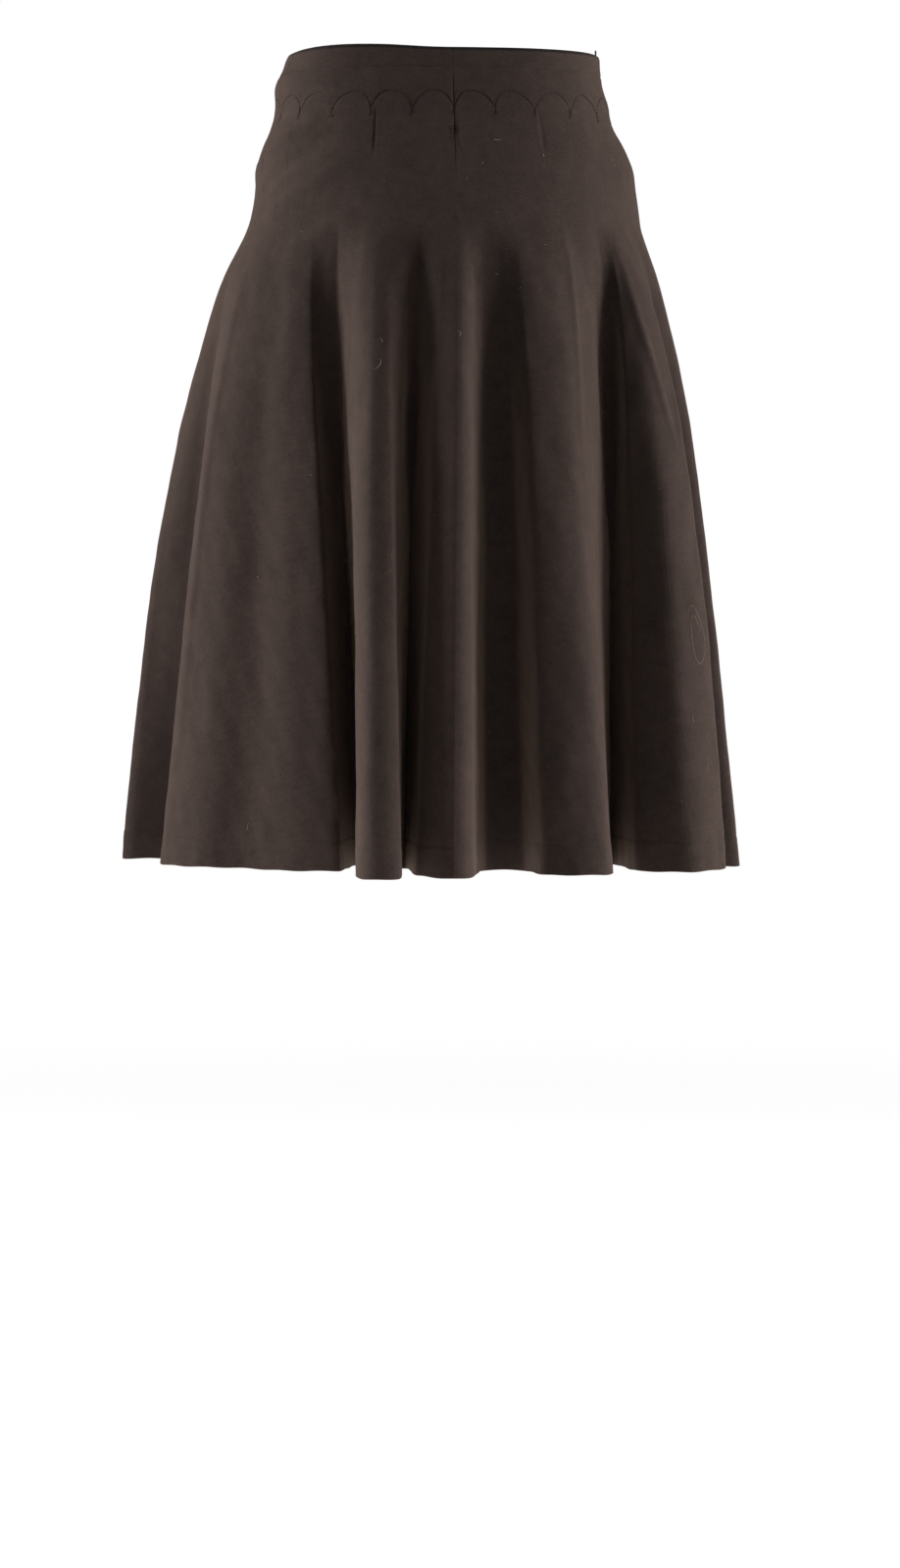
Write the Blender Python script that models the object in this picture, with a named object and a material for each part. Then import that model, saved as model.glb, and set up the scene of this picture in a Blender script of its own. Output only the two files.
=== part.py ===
"""A flared knit skirt, filled out as it hangs when it is worn.

Metres, +Z up. The back faces -Y and the front +Y. The origin is the centre of the
waist at the top edge, so a drop below the top edge is a negative height.
"""

import math

import bpy
import numpy as np

MM = 0.001

LENGTH = 577.5 * MM
WALL = 1.8 * MM
SEAM_GAP = 0.3 * MM
BAND_DEPTH = 13.5 * MM

# The scalloped seam between the yoke and the skirt: round humps with points between them.
SCALLOPS = 24
SCALLOP_TOP = 31.0 * MM
SCALLOP_POINT = 47.0 * MM
YOKE_ROWS = 2
BAND_ROWS = 1

# The top edge stands a little higher at the left of the back.
TOP_RISE = 2.4 * MM
TOP_RISE_BEARING = math.radians(-46)
TOP_RISE_SPREAD = math.radians(44)

# The flutes grow from the hip down to the hem.
FLUTE_START = 122 * MM
FLARE_POWER = 0.9
FLUTE_POWER = 0.76
FLUTE_SOFTNESS = 0.02
SKIRT_DROPS_MM = (57, 70, 88, 106, 122, 137, 155, 181, 217, 265, 330, 408, 495)

# The mesh's columns stand closer together where the hem turns more: a turn by this angle
# adds as many columns as the width of one scallop does.
COLUMNS_PER_WIDTH = 3.5
COLUMNS_PER_SCALLOP = (5, 11)
TURN_OF_ONE_SCALLOP = math.radians(150)
BAND_COLUMNS = 84
HEM_SAMPLES = 2400
SAMPLES_PER_TURN = 100
MEAN_WAVES = 4
HIP_EASING = 0.05

# The loop of narrow ribbon inside the waistband, whose end stands over the top edge.
LOOP_BEARING = math.radians(79)
LOOP_RIBBON = 2.4 * MM
LOOP_THICKNESS = 1.2 * MM
LOOP_CLEARANCE = 0.5 * MM
LOOP_RISE = 5.5 * MM
LOOP_TAIL = 20 * MM
LOOP_LEG_SPACING = 3.6 * MM
LOOP_LEG_STEPS = 5
LOOP_BEND_STEPS = 8

# Looks: colours, how rough they are, and the angle from which an edge is shown sharp.
WOOL = (0.034, 0.022, 0.018, 1.0)
WOOL_ROUGHNESS = 0.95
RIBBON = (0.012, 0.010, 0.010, 1.0)
RIBBON_ROUGHNESS = 0.7
EDGE_ANGLE = math.radians(50)

# Reach of the upper skirt from its axis, mm, at each drop below the top edge.
# The squareness is 2 for an oval and more for a squarer ring.
FIGURE_COLUMNS = ("drop", "left", "right", "back", "front", "squareness")
FIGURE = (
    (0.0, 112.5, 112.5, 80.0, 90.0, 2.7),
    (8.0, 115.0, 113.0, 81.0, 92.0, 2.6),
    (20.0, 120.5, 114.8, 84.0, 95.0, 2.5),
    (34.0, 120.5, 119.0, 88.0, 98.0, 2.4),
    (48.0, 122.5, 122.0, 92.0, 101.0, 2.3),
    (62.0, 129.0, 130.0, 97.0, 103.0, 2.25),
    (76.0, 133.5, 136.0, 102.0, 105.0, 2.2),
    (98.0, 135.5, 140.0, 109.0, 107.0, 2.15),
    (126.0, 141.5, 144.0, 116.0, 109.0, 2.1),
    (158.0, 151.0, 151.0, 122.0, 110.0, 2.05),
    (200.0, 156.0, 156.0, 126.0, 110.0, 2.0),
    (600.0, 156.0, 156.0, 126.0, 110.0, 2.0),
)

# The hem in plan, all round from the centre back by the +X side: a row for each turn.
# The place of the turn, half the width of its rounding, the hem's heading there in degrees
# from +X, the bearing where its line starts on the hip, counted from the centre back, and
# how far the line stands out of a straight fall half way down.
TURN_COLUMNS = ("kind", "x", "y", "half_width", "heading", "hip_bearing", "belly")
TURNS = (
    ("ridge", -7, -170, 8, 2, 0, 0),
    ("ridge", 7, -160, 6, 55, 3, 0),
    ("valley", 22, -104, 8, 40, 7, 0),
    ("valley", 46, -104, 7, -30, 15, 0),
    ("ridge", 60, -148, 7, -30, 19, 0),
    ("ridge", 92, -153, 12, 12, 27, 0),
    ("ridge", 107, -139, 5, 66, 33, 0),
    ("valley", 116, -64, 5, 4, 52, 0),
    ("ridge", 130, -117, 8, -18, 55, 2),
    ("ridge", 165, -132, 12, 14, 58, 4),
    ("ridge", 192, -105, 6, 66, 63, 8),
    ("valley", 179, -83, 5, 62, 67, 4),
    ("ridge", 206, -80, 8, 55, 72, 3),
    ("valley", 180, 0, 14, 90, 85, 2),
    ("ridge", 197, 58, 24, 106, 98, 2),
    ("valley", 144, 74, 12, 117, 110, 0),
    ("ridge", 136, 138, 26, 137, 124, 3),
    ("valley", 86, 96, 11, 138, 138, 0),
    ("ridge", 62, 168, 22, 162, 151, 0),
    ("valley", 24, 112, 14, 168, 165, 0),
    ("ridge", -26, 178, 28, 188, 180, 4),
    ("valley", -60, 100, 10, 208, 194, 0),
    ("ridge", -98, 158, 20, 213, 206, 0),
    ("valley", -128, 92, 12, 234, 219, 0),
    ("ridge", -182, 118, 26, 238, 232, 4),
    ("valley", -182, 58, 11, 252, 244, 2),
    ("ridge", -233, 24, 8, 264, 256, 9),
    ("valley", -188, 14, 8, 272, 276, 4),
    ("ridge", -206, -26, 10, 282, 292, 2),
    ("ridge", -178, -60, 12, 328, 298, 0),
    ("valley", -146, -73, 12, 332, 303, 0),
    ("ridge", -112, -95, 12, 338, 306, 0),
    ("ridge", -81, -103, 4, 30, 312, 0),
    ("valley", -62, -46, 6, 338, 321, 0),
    ("ridge", -73, -142, 8, 266, 330, 0),
    ("ridge", -62, -174, 10, 345, 334, 0),
    ("ridge", -43, -168, 4, 60, 338, 0),
    ("valley", -35, -80, 5, 0, 348, 0),
    ("ridge", -30, -146, 5, 316, 357, 0),
)


def smooth_curve(at, knots, values):
    """A smooth curve through the knots, read at the given places."""
    slopes = np.gradient(values, knots)
    after = np.clip(np.searchsorted(knots, at, side="right"), 1, len(knots) - 1)
    before = after - 1
    step = knots[after] - knots[before]
    t = np.clip((at - knots[before]) / step, 0.0, 1.0)
    return (
        values[before] * (1 + 2 * t) * (1 - t) ** 2
        + slopes[before] * step * t * (1 - t) ** 2
        + values[after] * t * t * (3 - 2 * t)
        + slopes[after] * step * t * t * (t - 1)
    )


def table_column(table, names, name):
    """One column of a table, as numbers."""
    return np.array([row[names.index(name)] for row in table], dtype=float)


def figure_point(bearing, drop):
    """The smooth ring of the upper skirt: x and y at a bearing, counted from the centre back."""
    drops = table_column(FIGURE, FIGURE_COLUMNS, "drop") * MM
    reach = {
        name: smooth_curve(drop, drops, table_column(FIGURE, FIGURE_COLUMNS, name) * MM)
        for name in ("left", "right", "back", "front")
    }
    squareness = smooth_curve(drop, drops, table_column(FIGURE, FIGURE_COLUMNS, "squareness"))
    across = np.sin(bearing)
    along = -np.cos(bearing)
    half_width = np.where(across > 0, reach["right"], reach["left"])
    half_depth = np.where(along > 0, reach["front"], reach["back"])
    power = np.abs(across / half_width) ** squareness + np.abs(along / half_depth) ** squareness
    radius = power ** (-1.0 / squareness)
    return np.stack([radius * across, radius * along], axis=-1)


def run_along(points):
    """Distance along a line of points, from its first."""
    steps = np.linalg.norm(np.diff(points, axis=0), axis=1)
    return np.concatenate([[0.0], np.cumsum(steps)])


def hem_outline():
    """Even points along the hem in plan, closed, and the place of each turn along it from 0 to 1."""
    places = np.stack([table_column(TURNS, TURN_COLUMNS, axis) for axis in ("x", "y")], axis=1) * MM
    halves = table_column(TURNS, TURN_COLUMNS, "half_width") * MM
    headings = np.radians(table_column(TURNS, TURN_COLUMNS, "heading"))
    handles = np.stack([np.cos(headings), np.sin(headings)], axis=1) * halves[:, None]
    t = np.linspace(0.0, 1.0, SAMPLES_PER_TURN, endpoint=False)[:, None]
    line = []
    for i in range(len(TURNS)):
        j = (i + 1) % len(TURNS)
        first = places[i]
        second = first + handles[i]
        fourth = places[j]
        third = fourth - handles[j]
        line.append(
            first * (1 - t) ** 3
            + 3 * second * t * (1 - t) ** 2
            + 3 * third * t * t * (1 - t)
            + fourth * t**3
        )
    line = np.concatenate(line + [places[:1]])
    run = run_along(line)
    turns = run[:-1:SAMPLES_PER_TURN] / run[-1]
    even = np.linspace(0.0, run[-1], HEM_SAMPLES + 1)
    return np.stack([np.interp(even, run, line[:, k]) for k in (0, 1)], axis=1), turns


def mean_outline(outline):
    """The hem without its flutes: its lowest waves alone."""
    wave = np.fft.fft(outline[:-1, 0] + 1j * outline[:-1, 1])
    order = np.abs(np.fft.fftfreq(HEM_SAMPLES, 1.0 / HEM_SAMPLES))
    low = np.fft.ifft(wave * (order <= MEAN_WAVES))
    mean = np.stack([low.real, low.imag], axis=1)
    return np.concatenate([mean, mean[:1]])


def hip_bearings(threads, turn_threads):
    """Where each thread starts on the hip: through the turns' bearings, then eased."""
    bearings = np.append(table_column(TURNS, TURN_COLUMNS, "hip_bearing"), 360.0)
    straight = np.interp(threads, np.append(turn_threads, 1.0), bearings)
    drift = (straight - 360.0 * threads)[:-1]
    window = np.hanning(HEM_SAMPLES * HIP_EASING)
    eased = np.convolve(np.tile(drift, 3), window / window.sum(), mode="same")
    eased = eased[HEM_SAMPLES : 2 * HEM_SAMPLES + 1]
    return np.radians(360.0 * threads + eased - eased[0])


HEM, TURN_THREADS = hem_outline()
HEM_MEAN = mean_outline(HEM)
THREADS = np.linspace(0.0, 1.0, HEM_SAMPLES + 1)
THREAD_STEP = 0.5 / HEM_SAMPLES
SAME_THREAD = 0.001 / HEM_SAMPLES
FALL_STEP = 0.5 * MM
HIP_BEARINGS = hip_bearings(THREADS, TURN_THREADS)
BELLIES = table_column(TURNS, TURN_COLUMNS, "belly") * MM


def on_ring(thread, values):
    """A value round the ring, read at a thread from 0 to 1 that may pass the centre back."""
    return np.interp(np.mod(thread, 1.0), THREADS, values)


def outer_point(thread, drop):
    """The skirt's outer surface. A thread runs down the cloth from the waist to the hem."""
    thread, drop = np.broadcast_arrays(thread, drop)
    bearing = on_ring(thread, HIP_BEARINGS)
    figure = figure_point(bearing, drop)
    hem = np.stack([on_ring(thread, HEM[:, k]) for k in (0, 1)], axis=-1)
    mean = np.stack([on_ring(thread, HEM_MEAN[:, k]) for k in (0, 1)], axis=-1)
    grown = np.clip((drop - FLUTE_START) / (LENGTH - FLUTE_START), 0.0, None)[..., None]
    start = FLUTE_SOFTNESS**FLUTE_POWER
    flute = ((grown + FLUTE_SOFTNESS) ** FLUTE_POWER - start) / ((1 + FLUTE_SOFTNESS) ** FLUTE_POWER - start)
    belly = np.interp(np.mod(thread, 1.0), TURN_THREADS, BELLIES, period=1.0)[..., None]
    away = mean / np.linalg.norm(mean, axis=-1, keepdims=True)
    plan = figure + (mean - figure) * grown**FLARE_POWER + (hem - mean) * flute
    plan = plan + away * belly * 4 * grown * (1 - grown)
    return np.concatenate([plan, -drop[..., None]], axis=-1)


def outward(thread, drop):
    """The direction square to the outer surface."""
    round_it = outer_point(thread + THREAD_STEP, drop) - outer_point(thread - THREAD_STEP, drop)
    down_it = outer_point(thread, drop + FALL_STEP) - outer_point(thread, drop - FALL_STEP)
    square = np.cross(down_it, round_it)
    return square / np.linalg.norm(square, axis=-1, keepdims=True)


def top_rise(thread):
    """How far the top edge stands over its level at a thread."""
    bearing = on_ring(thread, HIP_BEARINGS)
    away = np.mod(bearing - TOP_RISE_BEARING + math.pi, math.tau) - math.pi
    return TOP_RISE * np.cos(np.clip(away / TOP_RISE_SPREAD, -1, 1) * math.pi / 2) ** 2


def scallop_drop(phase):
    """The scalloped seam, at a phase from 0 at one point to 1 at the next: a half round hump."""
    hump = np.sqrt(np.clip(1.0 - (2.0 * phase - 1.0) ** 2, 0.0, 1.0))
    return SCALLOP_POINT + (SCALLOP_TOP - SCALLOP_POINT) * hump


def thread_at_bearing(bearing):
    """The thread that starts at a bearing on the hip."""
    return np.interp(bearing, HIP_BEARINGS, THREADS)


def even_threads(count):
    """Threads that stand evenly round the seam below the yoke."""
    seam = figure_point(HIP_BEARINGS, np.full_like(HIP_BEARINGS, SCALLOP_POINT))
    run = run_along(seam)
    return np.interp(np.linspace(0.0, run[-1], count + 1), run, THREADS)


def turning(outline):
    """How far the hem has turned, in all, from its first point to each of its points."""
    heading = np.unwrap(np.arctan2(*np.diff(outline, axis=0).T[::-1]))
    turned = np.concatenate([[0.0], np.cumsum(np.abs(np.diff(heading))), [0.0]])
    turned[-1] = turned[-2]
    return turned


def skirt_columns():
    """Threads of the mesh's columns and their phases, closer together where the hem turns more."""
    points = even_threads(SCALLOPS)
    turned_at = turning(HEM)
    threads = []
    phases = []
    for first, last in zip(points, points[1:]):
        fine = np.linspace(first, last, SAMPLES_PER_TURN)
        turned = np.interp(fine, THREADS, turned_at)
        weight = (fine - first) / (last - first) + (turned - turned[0]) / TURN_OF_ONE_SCALLOP
        fewest, most = COLUMNS_PER_SCALLOP
        count = min(max(round(weight[-1] * COLUMNS_PER_WIDTH), fewest), most)
        chosen = np.interp(np.linspace(0.0, weight[-1], count, endpoint=False), weight, fine)
        threads.append(chosen)
        phases.append((chosen - first) / (last - first))
    return np.append(np.concatenate(threads), 1.0), np.append(np.concatenate(phases), 0.0)


def wall_points(threads, drops, shift, rise):
    """Outer and inner points of a stretch of wall, moved along its ends by the shift."""
    outer = outer_point(threads, drops)
    square = outward(threads, drops)
    along = outer_point(threads + THREAD_STEP, drops) - outer_point(threads - THREAD_STEP, drops)
    along /= np.linalg.norm(along, axis=-1, keepdims=True)
    outer = outer + along * shift[..., None]
    outer[..., 2] += rise
    return outer, outer - square * WALL


def grid_wall(name, outer, inner):
    """A closed solid between an outer and an inner grid of points, rows from top to bottom."""
    rows, columns, _ = outer.shape
    vertices = np.concatenate([outer.reshape(-1, 3), inner.reshape(-1, 3)])
    low = rows - 1
    last = columns - 1

    def corner(side, row, column):
        return side * rows * columns + row * columns + column

    faces = []
    for row in range(low):
        for column in range(last):
            ahead = column + 1
            quad = [(row, column), (row, ahead), (row + 1, ahead), (row + 1, column)]
            faces.append([corner(0, *place) for place in reversed(quad)])
            faces.append([corner(1, *place) for place in quad])
    for column in range(last):
        ahead = column + 1
        faces.append([corner(0, 0, column), corner(0, 0, ahead), corner(1, 0, ahead), corner(1, 0, column)])
        faces.append(
            [corner(1, low, column), corner(1, low, ahead), corner(0, low, ahead), corner(0, low, column)]
        )
    for row in range(low):
        below = row + 1
        faces.append([corner(1, row, 0), corner(1, below, 0), corner(0, below, 0), corner(0, row, 0)])
        faces.append(
            [corner(0, row, last), corner(0, below, last), corner(1, below, last), corner(1, row, last)]
        )
    mesh = bpy.data.meshes.new(name)
    mesh.from_pydata(vertices.tolist(), [], faces)
    mesh.shade_smooth()
    mesh.set_sharp_from_angle(angle=EDGE_ANGLE)
    return bpy.data.objects.new(name, mesh)


def panel(name, threads, drops, rise=0.0):
    """A piece of the wall between two seams, parted from its neighbours by the seam gap."""
    shift = np.zeros_like(drops)
    shift[:, 0] = SEAM_GAP / 2
    shift[:, -1] = -SEAM_GAP / 2
    outer, inner = wall_points(np.broadcast_to(threads, drops.shape), drops, shift, rise)
    return grid_wall(name, outer, inner)


def waistband():
    """The narrow band round the waist, open at the centre back where the closure is."""
    threads = even_threads(BAND_COLUMNS)
    fractions = np.linspace(0.0, 1.0, BAND_ROWS + 1)[:, None]
    drops = fractions * (BAND_DEPTH - SEAM_GAP / 2) * np.ones_like(threads)
    rise = (1.0 - fractions) * top_rise(threads)
    return panel("waistband", threads, drops, rise)


def stretch(threads, phases, first, last):
    """The columns between two seams, both seams included."""
    inside = (threads > first + SAME_THREAD) & (threads < last - SAME_THREAD)
    ends = np.interp([first, last], threads, np.arange(len(threads)))
    low = int(ends[0])
    high = min(int(ends[1]), len(threads) - 2)
    part = ends - np.array([low, high])
    after = np.append(phases[1:-1], [1.0, 1.0])
    after = np.where(after <= phases, 1.0, after)
    at = [phases[k] + (after[k] - phases[k]) * p for k, p in zip((low, high), part)]
    return (
        np.concatenate([[first], threads[inside], [last]]),
        np.concatenate([[at[0]], phases[inside], [at[1]]]),
    )


def yoke_panel(name, columns, first, last):
    """A piece of the yoke, from the waistband's seam down to the scalloped seam."""
    threads, phases = stretch(*columns, first, last)
    low = scallop_drop(phases) - SEAM_GAP / 2
    high = BAND_DEPTH + SEAM_GAP / 2
    fractions = np.linspace(0.0, 1.0, YOKE_ROWS + 1)[:, None]
    return panel(name, threads, high + (low - high) * fractions)


def skirt_panel(name, columns, first, last):
    """A piece of the flared skirt, from the scalloped seam down to the hem."""
    threads, phases = stretch(*columns, first, last)
    high = scallop_drop(phases) + SEAM_GAP / 2
    levels = np.append(np.array(SKIRT_DROPS_MM) * MM, LENGTH)[:, None]
    drops = np.concatenate([high[None, :], levels * np.ones_like(threads)])
    return panel(name, threads, drops)


def hanger_loop():
    """A loop of flat ribbon that stands inside the wall and ends over the top edge."""
    thread = thread_at_bearing(LOOP_BEARING)
    flat = outward(thread, BAND_DEPTH) * [1.0, 1.0, 0.0]
    flat /= np.linalg.norm(flat)
    along = np.array([-flat[1], flat[0], 0.0])
    seat = WALL + LOOP_CLEARANCE + LOOP_THICKNESS / 2
    half = LOOP_LEG_SPACING / 2
    crown = LOOP_RISE - LOOP_RIBBON / 2 - half
    bend = np.linspace(math.pi, 0.0, LOOP_BEND_STEPS + 1)
    leg = np.linspace(-LOOP_TAIL, 0.0, LOOP_LEG_STEPS, endpoint=False)
    route = [(-half, height) for height in leg]
    route += [(half * math.cos(angle), crown + half * math.sin(angle)) for angle in bend]
    route += [(half, height) for height in leg[::-1]]
    route = np.array(route)
    wall = outer_point(thread, np.clip(-route[:, 1], 0.0, None)) * [1.0, 1.0, 0.0]
    up = np.array([0.0, 0.0, 1.0])
    centre = wall - flat * seat + np.outer(route[:, 0], along) + np.outer(route[:, 1], up)
    heading = np.gradient(route, axis=0)
    heading /= np.linalg.norm(heading, axis=1, keepdims=True)
    side = np.outer(-heading[:, 1], along) + np.outer(heading[:, 0], up)
    corners = [
        centre + side * across * LOOP_RIBBON / 2 + flat * deep * LOOP_THICKNESS / 2
        for across, deep in ((-1, -1), (1, -1), (1, 1), (-1, 1))
    ]
    return ring_sweep("hanger_loop", np.stack(corners, axis=1))


def ring_sweep(name, rings):
    """A closed solid through a row of rings that each have the same number of points."""
    count, points, _ = rings.shape
    faces = [list(range(points))[::-1], [(count - 1) * points + k for k in range(points)]]
    for ring in range(count - 1):
        for k in range(points):
            ahead = (k + 1) % points
            base = ring * points
            faces.append([base + k, base + ahead, base + points + ahead, base + points + k])
    mesh = bpy.data.meshes.new(name)
    mesh.from_pydata(rings.reshape(-1, 3).tolist(), [], faces)
    return bpy.data.objects.new(name, mesh)


def finish(name, colour, roughness):
    """A plain cloth material."""
    material = bpy.data.materials.new(name)
    material.use_nodes = True
    shader = material.node_tree.nodes["Principled BSDF"]
    shader.inputs["Base Color"].default_value = colour
    shader.inputs["Roughness"].default_value = roughness
    shader.inputs["Metallic"].default_value = 0.0
    return material


def build():
    """The whole skirt, each piece that is cut as an object of its own."""
    for item in list(bpy.data.objects):
        bpy.data.objects.remove(item, do_unlink=True)
    collection = bpy.data.collections.new("knit_skirt")
    bpy.context.scene.collection.children.link(collection)

    columns = skirt_columns()
    right, left = thread_at_bearing(np.radians([90.0, 270.0]))
    pieces = [waistband()]
    spans = (("back_right", 0.0, right), ("front", right, left), ("back_left", left, 1.0))
    for side, first, last in spans:
        pieces.append(yoke_panel("yoke_" + side, columns, first, last))
        pieces.append(skirt_panel("skirt_" + side, columns, first, last))
    for piece in pieces:
        piece.data.materials.append(finish(piece.name + "_wool", WOOL, WOOL_ROUGHNESS))
    loop = hanger_loop()
    loop.data.materials.append(finish("loop_ribbon", RIBBON, RIBBON_ROUGHNESS))
    for piece in [*pieces, loop]:
        collection.objects.link(piece)


build()
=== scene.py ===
"""The knit skirt's looks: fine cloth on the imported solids, its seams, finishes, light and camera.

Metres, +Z up. The back faces -Y and the front +Y. The origin is the centre of the waist at
the top edge, so a drop below the top edge is a negative height.
"""

import math

import bpy
import numpy as np
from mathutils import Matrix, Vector


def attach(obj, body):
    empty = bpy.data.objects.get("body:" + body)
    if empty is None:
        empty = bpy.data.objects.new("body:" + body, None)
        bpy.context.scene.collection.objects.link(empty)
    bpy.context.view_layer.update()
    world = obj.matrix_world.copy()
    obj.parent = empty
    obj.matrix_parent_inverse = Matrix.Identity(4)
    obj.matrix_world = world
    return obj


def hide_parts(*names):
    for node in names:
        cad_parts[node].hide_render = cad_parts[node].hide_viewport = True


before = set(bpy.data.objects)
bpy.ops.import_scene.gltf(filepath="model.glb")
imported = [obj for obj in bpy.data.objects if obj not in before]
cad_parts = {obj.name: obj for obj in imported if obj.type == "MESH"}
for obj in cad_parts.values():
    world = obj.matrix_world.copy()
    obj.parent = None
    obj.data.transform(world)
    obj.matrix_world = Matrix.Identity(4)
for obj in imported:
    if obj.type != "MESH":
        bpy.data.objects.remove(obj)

MM = 0.001

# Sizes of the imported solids, whose form the cloth follows.
LENGTH = 577.5 * MM
WALL = 1.8 * MM
SEAM_GAP = 0.1 * MM
BAND_DEPTH = 13.5 * MM
SCALLOPS = 24
SCALLOP_TOP = 31.0 * MM
SCALLOP_POINT = 47.0 * MM
TOP_RISE = 2.4 * MM
TOP_RISE_BEARING = math.radians(-46)
TOP_RISE_SPREAD = math.radians(44)
FLUTE_START = 122 * MM
FLARE_POWER = 0.9
FLUTE_POWER = 0.76
FLUTE_SOFTNESS = 0.02
HEM_SAMPLES = 2400
SAMPLES_PER_TURN = 100
MEAN_WAVES = 4
HIP_EASING = 0.05
LOOP_BEARING = math.radians(79)
LOOP_RIBBON = 2.4 * MM
LOOP_THICKNESS = 1.2 * MM
LOOP_CLEARANCE = 0.5 * MM
LOOP_RISE = 5.5 * MM
LOOP_TAIL = 20 * MM
LOOP_LEG_SPACING = 3.6 * MM
LOOP_BEND_STEPS = 17
LOOP_LEG_STEPS = 12
LOOP_SIDES = 12

# Reach of the upper skirt from its axis, mm, at each drop below the top edge.
FIGURE_COLUMNS = ("drop", "left", "right", "back", "front", "squareness")
FIGURE = (
    (0.0, 112.5, 112.5, 80.0, 90.0, 2.7),
    (8.0, 115.0, 113.0, 81.0, 92.0, 2.6),
    (20.0, 120.5, 114.8, 84.0, 95.0, 2.5),
    (34.0, 120.5, 119.0, 88.0, 98.0, 2.4),
    (48.0, 122.5, 122.0, 92.0, 101.0, 2.3),
    (62.0, 129.0, 130.0, 97.0, 103.0, 2.25),
    (76.0, 133.5, 136.0, 102.0, 105.0, 2.2),
    (98.0, 135.5, 140.0, 109.0, 107.0, 2.15),
    (126.0, 141.5, 144.0, 116.0, 109.0, 2.1),
    (158.0, 151.0, 151.0, 122.0, 110.0, 2.05),
    (200.0, 156.0, 156.0, 126.0, 110.0, 2.0),
    (600.0, 156.0, 156.0, 126.0, 110.0, 2.0),
)

# The hem in plan, all round from the centre back by the +X side, mm: a row for each turn.
# Headings and bearings are in degrees.
TURN_COLUMNS = ("kind", "x", "y", "half_width", "heading", "hip_bearing", "belly")
TURNS = (
    ("ridge", -7, -170, 8, 2, 0, 0),
    ("ridge", 7, -160, 6, 55, 3, 0),
    ("valley", 22, -104, 8, 40, 7, 0),
    ("valley", 46, -104, 7, -30, 15, 0),
    ("ridge", 60, -148, 7, -30, 19, 0),
    ("ridge", 92, -153, 12, 12, 27, 0),
    ("ridge", 107, -139, 5, 66, 33, 0),
    ("valley", 116, -64, 5, 4, 52, 0),
    ("ridge", 130, -117, 8, -18, 55, 2),
    ("ridge", 165, -132, 12, 14, 58, 4),
    ("ridge", 192, -105, 6, 66, 63, 8),
    ("valley", 179, -83, 5, 62, 67, 4),
    ("ridge", 206, -80, 8, 55, 72, 3),
    ("valley", 180, 0, 14, 90, 85, 2),
    ("ridge", 197, 58, 24, 106, 98, 2),
    ("valley", 144, 74, 12, 117, 110, 0),
    ("ridge", 136, 138, 26, 137, 124, 3),
    ("valley", 86, 96, 11, 138, 138, 0),
    ("ridge", 62, 168, 22, 162, 151, 0),
    ("valley", 24, 112, 14, 168, 165, 0),
    ("ridge", -26, 178, 28, 188, 180, 4),
    ("valley", -60, 100, 10, 208, 194, 0),
    ("ridge", -98, 158, 20, 213, 206, 0),
    ("valley", -128, 92, 12, 234, 219, 0),
    ("ridge", -182, 118, 26, 238, 232, 4),
    ("valley", -182, 58, 11, 252, 244, 2),
    ("ridge", -233, 24, 8, 264, 256, 9),
    ("valley", -188, 14, 8, 272, 276, 4),
    ("ridge", -206, -26, 10, 282, 292, 2),
    ("ridge", -178, -60, 12, 328, 298, 0),
    ("valley", -146, -73, 12, 332, 303, 0),
    ("ridge", -112, -95, 12, 338, 306, 0),
    ("ridge", -81, -103, 4, 30, 312, 0),
    ("valley", -62, -46, 6, 338, 321, 0),
    ("ridge", -73, -142, 8, 266, 330, 0),
    ("ridge", -62, -174, 10, 345, 334, 0),
    ("ridge", -43, -168, 4, 60, 338, 0),
    ("valley", -35, -80, 5, 0, 348, 0),
    ("ridge", -30, -146, 5, 316, 357, 0),
)

# The fine cloth: spacing of its grid at the hem, and the rows close to a seam, a stitch line
# and an edge.
GRID_ACROSS = 2.9 * MM
GRID_ACROSS_FRONT = 4.6 * MM
GRID_DOWN = 3.3 * MM
YOKE_GRID_DOWN = 1.3 * MM
YOKE_CROWDING = 0.65
BAND_ROWS_MM = (0.0, 0.5, 1.2, 2.2, 3.6, 5.4, 7.4, 9.2, 10.6, 11.7, 12.5, 13.1)
# The waistband's top edge rows, outside and inside, which are coloured near black.
DARK_EDGE_ROWS = (0, 1, 2, -1, -2, -3)
SEAM_ROWS_MM = (0.0, 0.35, 0.8, 1.4, 2.2, 3.3, 4.8)
HEM_TURN = 21 * MM
HEM_TURN_ROWS_MM = (-23.5, -22.0, -21.3, -20.6, -19.6, -18.0)
HEM_EDGE_ROWS_MM = (-2.0, -0.9, -0.3, 0.0)

# How the cloth dips into a seam and swells beside it, the share of it that a faint seam has,
# and how the top edge rolls in.
SEAM_DIP = 0.35 * MM
SEAM_DIP_WIDTH = 0.9 * MM
SEAM_SWELL = 0.15 * MM
SEAM_SWELL_AT = 2.4 * MM
SEAM_SWELL_WIDTH = 1.4 * MM
SEAM_FAINT = 0.2
TOP_ROLL = 0.5 * MM
TOP_ROLL_WIDTH = 0.9 * MM
SIDE_CALM = 16 * MM
SIDE_SEAM_FADE = (60 * MM, 100 * MM)

# How clearly the scalloped seam shows: a mean, and waves round the yoke, each with its height,
# its number and its phase.
SEAM_STRENGTH = 0.62
SEAM_STRENGTH_WAVES = ((0.2, 7, 1.0), (0.18, 17, 2.2))

# The gap between two pieces is widest at the yoke's foot, and least elsewhere. Rims are round.
GAP_AT = 42 * MM
GAP_SPREAD = 22 * MM
GAP_LEAST = 0.2
RIM_ROUNDNESS = 0.3

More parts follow.
